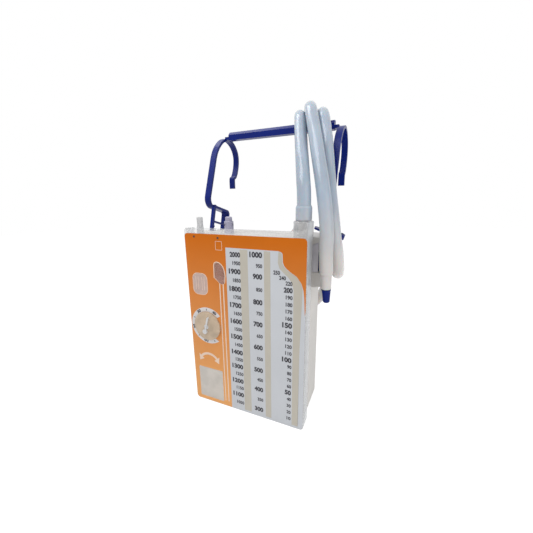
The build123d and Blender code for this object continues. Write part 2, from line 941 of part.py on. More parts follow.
def regulator_spring():
    """Spring that loads the diaphragm."""
    length = panel_back + regulator_depth - regulator_wall - diaphragm_face()
    spring = coil(regulator_spring_radius, regulator_spring_wire, length / 3, length)
    return Pos(dial_x, diaphragm_face(), dial_z) * Rot(-90, 0, 0) * spring


# Indicators

def bellows_profile():
    """Outline points of the folded bellows, from its top down."""
    points = [(0, bellows_top), (bellows_radius, bellows_top)]
    for i in range(bellows_folds):
        top = bellows_top - i * bellows_fold
        points.append((bellows_waist, top - bellows_fold / 2))
        points.append((bellows_radius, top - bellows_fold))
    points.append((0, bellows_top - bellows_folds * bellows_fold))
    return points


def suction_bellows():
    """Folded rubber bellows that lengthens as suction falls."""
    return turned(bellows_profile(), bellows_x, bellows_y)


def bellows_bracket():
    """Shelf behind the panel that carries the bellows by its top."""
    x = (bellows_x - bellows_radius - 1, bellows_x + bellows_radius + 1)
    shelf = block(x, (panel_back, bellows_y + bellows_radius + 1), (bellows_top, bellows_top + bellows_holder))
    web = prism(
        Plane.YZ,
        [(panel_back, bellows_top), (bellows_y, bellows_top + 1), (panel_back, bellows_top + bellows_reach)],
        bellows_x - 1,
        bellows_x + 1,
    )
    return shelf + web


def bellows_indicator():
    """Red end disc of the bellows."""
    low = bellows_top - bellows_folds * bellows_fold
    return upright(bellows_radius, bellows_x, bellows_y, low - indicator_height, low)


def float_channel():
    """Moulded trough behind the panel: a wide chamber above and a narrow channel below."""
    outer = block(
        (float_x - channel_half - channel_wall, float_x + channel_half + channel_wall),
        (panel_back, panel_back + channel_depth + channel_wall),
        (channel_low, channel_high),
    )
    inner_chamber = float_x - chamber_half
    outer += block(
        (inner_chamber - channel_wall, float_x + channel_half + channel_wall),
        (panel_back, panel_back + channel_depth + channel_wall),
        (float_low - 2 * channel_wall, channel_high),
    )
    outer -= block(
        (float_x - channel_half, float_x + channel_half),
        (panel_back - 1, panel_back + channel_depth),
        (channel_low + channel_wall, float_low - channel_wall),
    )
    outer -= block(
        (inner_chamber, float_x + channel_half),
        (panel_back - 1, panel_back + channel_depth),
        (float_low, channel_high - channel_wall),
    )
    drain = (float_low - channel_wall - 1, float_low + 1)
    outer -= upright(1.2, float_x, panel_back + channel_depth / 2, *drain)
    return outer


def leak_float():
    """Red float with rounded ends, resting on the chamber's floor."""
    body = upright(float_radius, float_x, panel_back + channel_depth / 2, float_low, float_low + float_height)
    top_edge = body.edges().group_by(Axis.Z)[-1]
    return fillet(top_edge, float_radius * 0.6)


# One-way valve

def one_way_valve():
    """Duckbill valve on the regulator divider, with lips that close on themselves."""
    seat = regulator_divider_x - divider_wall / 2
    start = Plane(origin=(seat, duckbill_y, duckbill_z), z_dir=(-1, 0, 0), x_dir=(0, 1, 0))
    collar = duckbill_length / 2
    flange = extrude(start * Circle(duckbill_radius + duckbill_flange), duckbill_flange)
    tube = extrude(start * Circle(duckbill_radius), collar)
    lips = Rectangle(2 * duckbill_radius, duckbill_lip)
    bill = loft([start.offset(collar) * Circle(duckbill_radius), start.offset(duckbill_length) * lips])
    return flange + tube + bill


PARTS = {
    "rear_tank": rear_tank,
    "front_panel": front_panel,
    "front_label": front_label,
    "access_plugs": access_plugs,
    "inlet_socket": inlet_socket,
    "inlet_barb": inlet_barb,
    "inlet_duct": inlet_duct,
    "tube_cuff": tube_cuff,
    "patient_tube": patient_tube,
    "tube_connector": tube_connector,
    "connector_cap": connector_cap,
    "tube_clamp": tube_clamp,
    "hanger": hanger,
    "suction_port": suction_port,
    "suction_filter": suction_filter,
    "relief_body": relief_body,
    "relief_seal": relief_seal,
    "relief_spring": relief_spring,
    "relief_button": relief_button,
    "regulator_body": regulator_body,
    "orifice_disc": orifice_disc,
    "regulator_diaphragm": regulator_diaphragm,
    "regulator_spring": regulator_spring,
    "dial_shaft": dial_shaft,
    "dial_knob": dial_knob,
    "dial_pointer": dial_pointer,
    "bellows_bracket": bellows_bracket,
    "suction_bellows": suction_bellows,
    "bellows_indicator": bellows_indicator,
    "float_channel": float_channel,
    "leak_float": leak_float,
    "one_way_valve": one_way_valve,
}

os.makedirs("parts", exist_ok=True)
for name, build in PARTS.items():
    export_step(build(), f"parts/{name}.step")
    print("wrote", name)
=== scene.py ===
"""Looks of a chest drain unit: a graduated collection tank, its hanger and its patient tube.

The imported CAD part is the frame. Its rigid nodes stay and get materials, the patient tube is a
NURBS cord, and the print on the label is laid on as thin pieces. Sizes are millimetres unless a
name says otherwise; the Blender scene is in metres.
"""

from __future__ import annotations

import logging
import math
from dataclasses import dataclass, field
from enum import Enum

import bpy
import numpy as np
from mathutils import Matrix, Vector
from mathutils.geometry import tessellate_polygon


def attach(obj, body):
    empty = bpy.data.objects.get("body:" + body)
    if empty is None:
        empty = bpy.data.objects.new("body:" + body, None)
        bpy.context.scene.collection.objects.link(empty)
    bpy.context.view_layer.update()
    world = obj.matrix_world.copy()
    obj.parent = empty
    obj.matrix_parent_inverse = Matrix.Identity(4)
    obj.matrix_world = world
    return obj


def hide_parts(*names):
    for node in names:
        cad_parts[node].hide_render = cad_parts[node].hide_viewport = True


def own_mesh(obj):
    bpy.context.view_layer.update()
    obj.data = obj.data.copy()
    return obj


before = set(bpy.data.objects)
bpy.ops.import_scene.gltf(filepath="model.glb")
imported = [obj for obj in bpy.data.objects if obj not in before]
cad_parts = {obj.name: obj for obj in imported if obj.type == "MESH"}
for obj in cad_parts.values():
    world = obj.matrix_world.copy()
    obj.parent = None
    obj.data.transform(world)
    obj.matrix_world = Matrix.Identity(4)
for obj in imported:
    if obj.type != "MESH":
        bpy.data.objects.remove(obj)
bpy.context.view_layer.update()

MM = 0.001
log = logging.getLogger("chest_drain")


class Body(Enum):
    """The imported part's body that the scene's own pieces ride on."""

    HOUSING = "housing"


class Ink(Enum):
    """Printing inks and film colours of the label, and one painted light, as sRGB hex values."""

    ORANGE = "#C8680C"
    # Painted light: the paler orange that the field fades to towards its foot
    ORANGE_LIGHT = "#E6A768"
    WHITE = "#C6C9CE"
    PALE_LINE = "#E3C9B4"
    BEIGE = "#C9C3B6"
    PINK = "#BC8672"
    BLUSH = "#E6CABF"
    HAZE = "#E6E0D8"
    NUMERAL = "#323138"
    SCALE_WHITE = "#D5D2D2"


# Finishes


def linear(hex_colour: str) -> tuple[float, float, float, float]:
    """Turns an sRGB hex value into linear red, green, blue and alpha.

    Args:
        hex_colour: colour as "#RRGGBB".

    Returns:
        The linear colour with an alpha of 1.
    """
    parts = [int(hex_colour[i : i + 2], 16) / 255 for i in (1, 3, 5)]
    lin = [c / 12.92 if c <= 0.04045 else ((c + 0.055) / 1.055) ** 2.4 for c in parts]
    return (lin[0], lin[1], lin[2], 1.0)


def add_node(
    tree: bpy.types.NodeTree, kind: str, settings: dict | None = None, links: dict | None = None
) -> bpy.types.Node:
    """Adds one shader node with its settings and incoming links.

    Args:
        tree: node tree that gets the node.
        kind: Blender's name of the node type.
        settings: socket name or attribute name to value.
        links: input socket name to the output socket that feeds it.

    Returns:
        The new node.
    """
    node = tree.nodes.new(kind)
    for name, value in (settings or {}).items():
        if name in node.inputs:
            node.inputs[name].default_value = value
        else:
            setattr(node, name, value)
    for name, source in (links or {}).items():
        tree.links.new(source, node.inputs[name])
    return node


# Shared by all finishes: how sharply a clear surface grows dense as it turns away, how far the
# roughness varies, and where on the slow noise the tone starts and stops changing
EDGE_BLEND = 0.35
ROUGHNESS_SPREAD = 0.05
ROUGHNESS_FLOOR = 0.02
TONE_SPAN = (0.35, 0.65)
BUMP_STRENGTH = 0.4
COAT_ROUGHNESS = 0.12
SUBSURFACE_MM = 4.0

# Sockets of Blender's colour mix: share, first colour, second colour
MIX_SOCKETS = (0, 6, 7)


@dataclass(frozen=True)
class Finish:
    """A moulded, rubber or film surface with fine texture and slow colour variation.

    The grain is a bump of a real size in millimetres, and the mottle is the slow change of tone
    that uneven cooling or handling gives. A second colour takes over with height between the two
    heights of the fade, and a clear finish grows denser where its surface turns away.
    """

    name: str
    colour: str
    roughness: float
    tone: float = 0.06
    mottle_mm: float = 35.0
    grain_mm: float = 0.6
    grain_depth: float = 0.02
    metallic: float = 0.0
    coat: float = 0.0
    subsurface: float = 0.0
    translucent: float = 0.0
    alpha: float = 1.0
    edge_alpha: float = 1.0
    edge_colour: str = ""
    ior: float = 1.5
    low_colour: str = ""
    fade_mm: tuple[float, float] = (0.0, 100.0)

    def material(self) -> bpy.types.Material:
        """Builds the node material.

        Returns:
            The material, with its pattern on Object coordinates.
        """
        mat = bpy.data.materials.new(self.name)
        mat.use_nodes = True
        tree = mat.node_tree
        tree.nodes.clear()
        place = add_node(tree, "ShaderNodeTexCoord").outputs["Object"]
        mottle = {"Scale": 1 / (self.mottle_mm * MM), "Detail": 3.0}
        slow = add_node(tree, "ShaderNodeTexNoise", mottle, {"Vector": place}).outputs["Fac"]
        grain = {"Scale": 1 / (self.grain_mm * MM), "Detail": 2.0}
        fine = add_node(tree, "ShaderNodeTexNoise", grain, {"Vector": place}).outputs["Fac"]
        depth = {"Strength": BUMP_STRENGTH, "Distance": self.grain_depth * MM}
        bump = add_node(tree, "ShaderNodeBump", depth, {"Height": fine})
        turned = add_node(tree, "ShaderNodeLayerWeight", {"Blend": EDGE_BLEND}).outputs["Facing"]
        colour = self.toned(tree, slow, self.colour)
        if self.low_colour:
            height = add_node(tree, "ShaderNodeSeparateXYZ", links={"Vector": place}).outputs["Z"]
            span = {"From Min": self.fade_mm[0] * MM, "From Max": self.fade_mm[1] * MM}
            share = add_node(tree, "ShaderNodeMapRange", span, {"Value": height}).outputs["Result"]
            colour = self.mixed(tree, share, self.toned(tree, slow, self.low_colour), colour)
        # Where the surface turns away, the colour goes over to a painted edge shade
        if self.edge_colour:
            colour = self.mixed(tree, turned, colour, self.toned(tree, slow, self.edge_colour))
        span = add_node(
            tree,
            "ShaderNodeMapRange",
            {
                "To Min": max(ROUGHNESS_FLOOR, self.roughness - ROUGHNESS_SPREAD),
                "To Max": min(1.0, self.roughness + ROUGHNESS_SPREAD),
            },
            {"Value": slow},
        )
        shader = add_node(
            tree,
            "ShaderNodeBsdfPrincipled",
            {
                "Metallic": self.metallic,
                "Coat Weight": self.coat,
                "Coat Roughness": COAT_ROUGHNESS,
                "Subsurface Weight": self.subsurface,
                "Subsurface Scale": SUBSURFACE_MM * MM,
                "Alpha": self.alpha,
                "IOR": self.ior,
            },
            {
                "Base Color": colour,
                "Roughness": span.outputs["Result"],
                "Normal": bump.outputs["Normal"],
            },
        )
        if self.alpha < 1:
            reach = {"To Min": self.alpha, "To Max": self.edge_alpha}
            dense = add_node(tree, "ShaderNodeMapRange", reach, {"Value": turned})
            tree.links.new(dense.outputs["Result"], shader.inputs["Alpha"])
        surface = shader.outputs["BSDF"]
        if self.translucent:
            glow = add_node(tree, "ShaderNodeBsdfTranslucent", links={"Color": colour})
            both = add_node(tree, "ShaderNodeMixShader", {"Fac": self.translucent})
            tree.links.new(surface, both.inputs[1])
            tree.links.new(glow.outputs["BSDF"], both.inputs[2])
            surface = both.outputs["Shader"]
        add_node(tree, "ShaderNodeOutputMaterial", links={"Surface": surface})
        return mat

    def toned(
        self, tree: bpy.types.NodeTree, slow: bpy.types.NodeSocket, hex_colour: str
    ) -> bpy.types.NodeSocket:
        """Colour that varies by the tone share along the slow noise.

        Args:
            tree: node tree that gets the nodes.
            slow: the slow noise.
            hex_colour: the middle colour.

        Returns:
            The colour socket.
        """
        base = linear(hex_colour)
        ramp = add_node(tree, "ShaderNodeValToRGB", links={"Fac": slow})
        for end, position, sign in zip(ramp.color_ramp.elements, TONE_SPAN, (-1, 1)):
            end.position = position
            end.color = tuple(min(1.0, c * (1 + sign * self.tone)) for c in base[:3]) + (1.0,)
        return ramp.outputs["Color"]

    def mixed(
        self,
        tree: bpy.types.NodeTree,
        share: bpy.types.NodeSocket,
        first: bpy.types.NodeSocket,
        second: bpy.types.NodeSocket,
    ) -> bpy.types.NodeSocket:
        """Mixes two colours: the first at a share of 0 and the second at 1.

        Args:
            tree: node tree that gets the nodes.
            share: the mixing share.
            first: colour at 0.
            second: colour at 1.

        Returns:
            The colour socket.
        """
        mix = add_node(tree, "ShaderNodeMix", {"data_type": "RGBA"})
        for source, socket in zip((share, first, second), MIX_SOCKETS):
            tree.links.new(source, mix.inputs[socket])
        return mix.outputs[2]


FINISHES = {
    # Natural polystyrene, injection moulded: milky, with a soft sheen, and light comes
    # through its walls
    "tank": Finish(
        "moulded_natural_polystyrene", "#E9E6E2", roughness=0.38, tone=0.04, mottle_mm=60,
        grain_mm=0.8, grain_depth=0.02, translucent=0.22,
    ),
    # Crystal polystyrene, injection moulded: clear and glossy, so that only edges and
    # reflections show; the grey-blue where its surface turns away is painted edge shade
    "clear": Finish(
        "crystal_polystyrene_with_painted_edge_shade", "#F0EFEE", roughness=0.08, tone=0.01, mottle_mm=60, grain_mm=1.5,
        grain_depth=0.005, alpha=0.14, edge_alpha=0.9, edge_colour="#9CA3AB",
    ),
    # Hazy sheet in each socket window, as painted shade: the recess behind it shows as a soft grey
    "recess_shade": Finish(
        "painted_recess_shade_sheet", "#E6E4EC", roughness=0.3, tone=0.04, mottle_mm=20, grain_mm=0.8,
        grain_depth=0.01, alpha=0.72, edge_alpha=0.8,
    ),
    # Blue ABS, injection moulded in a spark-eroded mould: even and satin, nearly black where
    # it turns from the light
    "blue": Finish(
        "moulded_blue_abs", "#0A1F70", roughness=0.3, tone=0.07, mottle_mm=30, grain_mm=0.5,
        grain_depth=0.006, ior=1.24,
    ),
    # Plasticised PVC, extruded: soft, smooth and cloudy, bluish above and warm lower down
    "tube": Finish(
        "extruded_clear_vinyl", "#A3B0BF", roughness=0.18, tone=0.05, mottle_mm=45, grain_mm=1.2,
        grain_depth=0.01, coat=0.08, subsurface=0.25, low_colour="#D0CCC9",
        fade_mm=(225.0, 300.0),
    ),
    # White polypropylene, injection moulded: satin, with faint mottling
    "white": Finish(
        "moulded_white_polypropylene", "#CDCDCE", roughness=0.36, tone=0.04, mottle_mm=20,
        grain_mm=0.6, grain_depth=0.015,
    ),
    # Lilac polypropylene, injection moulded: the same satin in a greyed violet
    "lilac": Finish(
        "moulded_lilac_polypropylene", "#A5A3B8", roughness=0.38, tone=0.05, mottle_mm=12,
        grain_mm=0.6, grain_depth=0.015,
    ),
    # Tinted polycarbonate, moulded: shiny, in uneven warm patches as over orange print
    "dial": Finish(
        "tinted_clear_polycarbonate", "#B9A48B", roughness=0.16, tone=0.14, mottle_mm=14,
        grain_mm=1.0, grain_depth=0.01, coat=0.3,
    ),
    # Red polypropylene, moulded: a strong even signal colour with a dull sheen
    "red": Finish(
        "moulded_red_polypropylene", "#A8202C", roughness=0.35, tone=0.05, mottle_mm=10,
        grain_mm=0.5, grain_depth=0.01,
    ),
    # Silicone rubber, moulded: dull and slightly pink, and light soaks into it
    "silicone": Finish(
        "moulded_silicone_rubber", "#C9AEA4", roughness=0.5, tone=0.06, mottle_mm=10,
        grain_mm=0.6, grain_depth=0.02, subsurface=0.2,
    ),
    # Black nitrile rubber, moulded: dull and nearly black, without a clear highlight
    "rubber": Finish(
        "moulded_black_nitrile", "#2A2A2E", roughness=0.55, tone=0.08, mottle_mm=5, grain_mm=0.4,
        grain_depth=0.02,
    ),
    # Spring steel wire, drawn and coiled: bright, with soft reflections
    "steel": Finish(
        "drawn_spring_steel", "#A8A8A8", roughness=0.28, tone=0.04, mottle_mm=8, grain_mm=0.3,
        grain_depth=0.01, metallic=1.0,
    ),
    # Polyester felt, pressed: matt, white and slightly fuzzy
    "felt": Finish(
        "pressed_filter_felt", "#DAD9D4", roughness=0.9, tone=0.05, mottle_mm=6, grain_mm=0.3,
        grain_depth=0.1,
    ),
    # Polyester film, screen printed white: flat ink with a faint dot grain
    "ink_white": Finish(
        "printed_film_white", Ink.WHITE.value, roughness=0.42, tone=0.02, mottle_mm=60,
        grain_mm=0.5, grain_depth=0.004, ior=1.3,
    ),
    # Polyester film, screen printed orange: deep at the top, and paler towards the foot, where
    # the paler colour is painted light
    "ink_orange_with_painted_light": Finish(
        "printed_orange_with_painted_light", Ink.ORANGE.value, roughness=0.40, tone=0.035, mottle_mm=60,
        grain_mm=0.5, grain_depth=0.004, ior=1.25, low_colour=Ink.ORANGE_LIGHT.value,
        fade_mm=(10.0, 250.0),
    ),
    # Tinted film over the leak chamber: brownish pink, with the channel just visible
    "ink_window": Finish(
        "tinted_window_film", Ink.PINK.value, roughness=0.3, tone=0.06, mottle_mm=6, grain_mm=0.8,
        grain_depth=0.004, alpha=0.42, edge_alpha=0.5,
    ),
    # Lightly tinted film over the bellows: blush, half see-through
    "ink_blush": Finish(
        "blush_window_film", Ink.BLUSH.value, roughness=0.3, tone=0.05, mottle_mm=8, grain_mm=0.8,
        grain_depth=0.004, alpha=0.5, edge_alpha=0.6,
    ),
    # Frosted film over the sample chamber: a pale haze over the milky tank
    "ink_haze": Finish(
        "hazy_window_film", Ink.HAZE.value, roughness=0.3, tone=0.06, mottle_mm=14, grain_mm=0.8,
        grain_depth=0.004, alpha=0.55, edge_alpha=0.65,
    ),
    # Bare polyester film over the chambers: faintly beige over the milky tank
    "ink_clear": Finish(
        "bare_polyester_film", Ink.BEIGE.value, roughness=0.3, tone=0.03, mottle_mm=50,
        grain_mm=0.8, grain_depth=0.004, alpha=0.8, edge_alpha=0.95,
    ),
    # Pale ink of the outlines, screen printed: dull and a shade pinker than the film
    "ink_line": Finish(
        "printed_film_pale_line", Ink.PALE_LINE.value, roughness=0.42, tone=0.02, mottle_mm=30,
        grain_mm=0.5, grain_depth=0.004,
    ),
    # Dark grey ink of the numbers, screen printed: matt, a soft black
    "ink_numeral": Finish(
        "printed_numeral_grey", Ink.NUMERAL.value, roughness=0.5, tone=0.04, mottle_mm=10,
        grain_mm=0.4, grain_depth=0.004,
    ),
    # White ink of the dial's scale, screen printed: flat and brighter than the film
    "ink_scale": Finish(
        "printed_scale_white", Ink.SCALE_WHITE.value, roughness=0.42, tone=0.02, mottle_mm=20,
        grain_mm=0.5, grain_depth=0.004,
    ),
}


@dataclass
class Workshop:
    """Makes each finish once and puts new meshes into the scene."""

    made: dict[str, bpy.types.Material] = field(default_factory=dict)

    def finish(self, key: str) -> bpy.types.Material:
        """Returns the material of a finish, made on its first use.

        Args:
            key: name of the finish.

        Returns:
            The material.
        """
        if key not in self.made:
            self.made[key] = FINISHES[key].material()
        return self.made[key]

    def dress(self, node: str, key: str) -> None:
        """Gives a CAD node's material slots a finish.

        Args:
            node: name of the CAD node.
            key: name of the finish.
        """
        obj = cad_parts[node]
        material = self.finish(key)
        if not obj.material_slots:
            obj.data.materials.append(material)
        for slot in obj.material_slots:
            slot.material = material

    def add(self, name: str, verts: np.ndarray, faces: list, key: str, slot: str) -> None:
        """Makes a mesh piece that rides on the housing.

        Args:
            name: the piece's name.
            verts: points in millimetres, one row each.
            faces: lists of point numbers.
            key: name of the finish.
            slot: the record's material slot; not used.
        """
        mesh = bpy.data.meshes.new(name)
        mesh.from_pydata((verts * MM).tolist(), [], faces)
        mesh.materials.append(self.finish(key))
        mesh.validate()
        obj = bpy.data.objects.new(name, mesh)
        bpy.context.scene.collection.objects.link(obj)
        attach(obj, Body.HOUSING.value)
        log.info("%s of %d points", name, len(verts))


# Outlines for print, on the label's face


def arc(
    centre: tuple[float, float], radius: float, start: float, end: float, count: int = 24
) -> np.ndarray:
    """Points on a circle: centre plus radius times (sin, cos) of an angle clockwise from the top.

    Args:
        centre: (x, z).
        radius: radius.
        start: first angle in degrees.
        end: last angle in degrees.
        count: number of points.

    Returns:
        An array of (x, z) rows.
    """
    angle = np.radians(np.linspace(start, end, count))
    return np.column_stack((centre[0] + radius * np.sin(angle), centre[1] + radius * np.cos(angle)))


def box(left: float, right: float, low: float, high: float) -> np.ndarray:
    """Outline of a rectangle.

    Args:
        left: lowest x.
        right: highest x.
        low: lowest z.
        high: highest z.

    Returns:
        An array of (x, z) rows.
    """
    return np.array([(left, low), (right, low), (right, high), (left, high)])


def rounded(
    left: float, right: float, low: float, high: float, radius: float, count: int = 8
) -> np.ndarray:
    """Outline of a rectangle with rounded corners, as quarter circles joined clockwise.

    Args:
        left: lowest x.
        right: highest x.
        low: lowest z.
        high: highest z.
        radius: corner radius.
        count: points in each corner.

    Returns:
        An array of (x, z) rows.
    """
    corners = (
        ((right - radius, high - radius), 0),
        ((right - radius, low + radius), 90),
        ((left + radius, low + radius), 180),
        ((left + radius, high - radius), 270),
    )
    return np.vstack([arc(c, radius, a, a + 90, count) for c, a in corners])


def stroke(points: np.ndarray, width: float) -> np.ndarray:
    """Outline of a line of even width: the points moved half the width along the normal each way.

    Args:
        points: (x, z) rows of the middle line.
        width: full width.

    Returns:
        The outline as (x, z) rows.
    """
    along = np.gradient(np.asarray(points, float), axis=0)
    along /= np.linalg.norm(along, axis=1)[:, None]
    normal = np.column_stack((-along[:, 1], along[:, 0])) * width / 2
    return np.vstack((points + normal, (points - normal)[::-1]))


# How far the letter shapes are thickened, as a share of their height, and the pieces in a curve
BOLD_OFFSET = 0.05
LIGHT_OFFSET = 0.037
LETTER_STEPS = 3

# Triangles with a cross product below this have no area and are dropped
NO_AREA = 1e-9


@dataclass
class FlatPrint:
    """Flat triangles of one ink in the label's plane, gathered before they get a thickness."""

    points: list[np.ndarray] = field(default_factory=list)
    triangles: list[np.ndarray] = field(default_factory=list)
    count: int = 0

    def gather(self, points: np.ndarray, triangles: np.ndarray) -> None:
        """Adds triangles, each turned so that it faces the viewer.

        A triangle's sense is the sign of the cross product of its first two sides.

        Args:
            points: (x, z) rows.
            triangles: rows of three point numbers.
        """
        a, b, c = (points[triangles[:, i]] for i in range(3))
        first, second = b - a, c - a
        sense = first[:, 0] * second[:, 1] - first[:, 1] * second[:, 0]
        real = np.abs(sense) > NO_AREA
        triangles = triangles[real].copy()
        back = sense[real] < 0
        triangles[back] = triangles[back][:, ::-1]
        self.points.append(points)
        self.triangles.append(triangles + self.count)
        self.count += len(points)

    def fill(self, *outlines: np.ndarray) -> None:
        """Fills an outline; any further outlines are holes in it.

        Args:
            outlines: arrays of (x, z) rows.
        """
        loops = [[Vector((x, z, 0)) for x, z in outline] for outline in outlines]
        self.gather(np.vstack(outlines).astype(float), np.array(tessellate_polygon(loops)))

    def write(
        self,
        text: str,
        centre: tuple[float, float],
        size: tuple[float, float],
        bold: bool,
        turn: float = 0.0,
    ) -> None:
        """Sets a number: its letter shapes are stretched to a box, turned clockwise and placed.

        A point (u, v) of the box goes to centre + u (cos, -sin) + v (sin, cos) of the turn.

        Args:
            text: the number.
            centre: (x, z) of the middle of the box.
            size: width and height of the box.
            bold: whether the strokes are thickened.
            turn: degrees clockwise.
        """
        font = bpy.data.curves.new("number", "FONT")
        font.body = text
        font.resolution_u = LETTER_STEPS
        font.offset = BOLD_OFFSET if bold else LIGHT_OFFSET
        holder = bpy.data.objects.new("number", font)
        bpy.context.scene.collection.objects.link(holder)
        ready = holder.evaluated_get(bpy.context.evaluated_depsgraph_get())
        mesh = bpy.data.meshes.new_from_object(ready)
        flat = np.empty(len(mesh.vertices) * 3)
        mesh.vertices.foreach_get("co", flat)
        flat = flat.reshape(-1, 3)[:, :2]
        mesh.calc_loop_triangles()
        corners = np.empty(len(mesh.loop_triangles) * 3, dtype=np.int32)
        mesh.loop_triangles.foreach_get("vertices", corners)
        bpy.data.objects.remove(holder)
        bpy.data.curves.remove(font)
        bpy.data.meshes.remove(mesh)
        low, high = flat.min(axis=0), flat.max(axis=0)
        boxed = ((flat - low) / (high - low) - 0.5) * np.array(size)
        angle = math.radians(turn)
        rows = np.array([[math.cos(angle), -math.sin(angle)], [math.sin(angle), math.cos(angle)]])
        self.gather(boxed @ rows + np.array(centre), corners.reshape(-1, 3))

    def plate(self, near: float, far: float) -> tuple[np.ndarray, list]:
        """Closed plate: the triangles in front, turned over behind, and quads round the open edges.

        Args:
            near: depth of the front face.
            far: depth of the back face.

        Returns:
            Points as (x, y, z) rows, and faces as lists of point numbers.
        """
        flat, tris = np.vstack(self.points), np.vstack(self.triangles)
        used, tris = np.unique(tris, return_inverse=True)
        flat, tris = flat[used], tris.reshape(-1, 3)
        count = len(flat)
        layers = [np.column_stack((flat[:, 0], np.full(count, y), flat[:, 1])) for y in (near, far)]
        edges = np.vstack((tris[:, [0, 1]], tris[:, [1, 2]], tris[:, [2, 0]]))
        pairs = np.sort(edges, axis=1)
        _, first, uses = np.unique(pairs, axis=0, return_index=True, return_counts=True)
        rim = edges[first[uses == 1]]
        sides = np.column_stack((rim[:, ::-1], rim + count))
        faces = tris.tolist() + (tris[:, ::-1] + count).tolist() + sides.tolist()
        return np.vstack(layers), faces


@dataclass(frozen=True)
class NumberColumn:
    """One graduated column, with larger and bolder figures at each main number.

    The chamber's width changes with height, so the steps between main numbers aren't all alike.
    """

    first: int
    last: int
    step: int
    main: int
    heights: tuple[float, ...]
    right_top: float
    right_bottom: float

    def entries(self) -> list[tuple[int, float, float]]:
        """Works out each number's right edge and height, at even steps between main numbers.

        Returns:
            Rows of value, right edge and height of the middle.
        """
        values = np.arange(self.first, self.last - 1, -self.step)
        rights = np.linspace(self.right_top, self.right_bottom, len(values))
        known = values[(values % self.main == 0) | (values == self.last)]
        heights = np.interp(-values, -known, self.heights)
        return list(zip(values.tolist(), rights.tolist(), heights.tolist()))


# Heights of the main numbers and of the last one, from the top
HEIGHTS_LARGE = (231.6, 209.6, 186.3, 163.6, 140.7, 117.7, 94.5, 72.6, 49.4, 27.0, 14.0)
HEIGHTS_MIDDLE = (233.4, 206.0, 172.5, 142.0, 109.1, 75.0, 44.9, 12.5)
HEIGHTS_SMALL = (193.4, 147.9, 100.3, 52.6, 12.7)


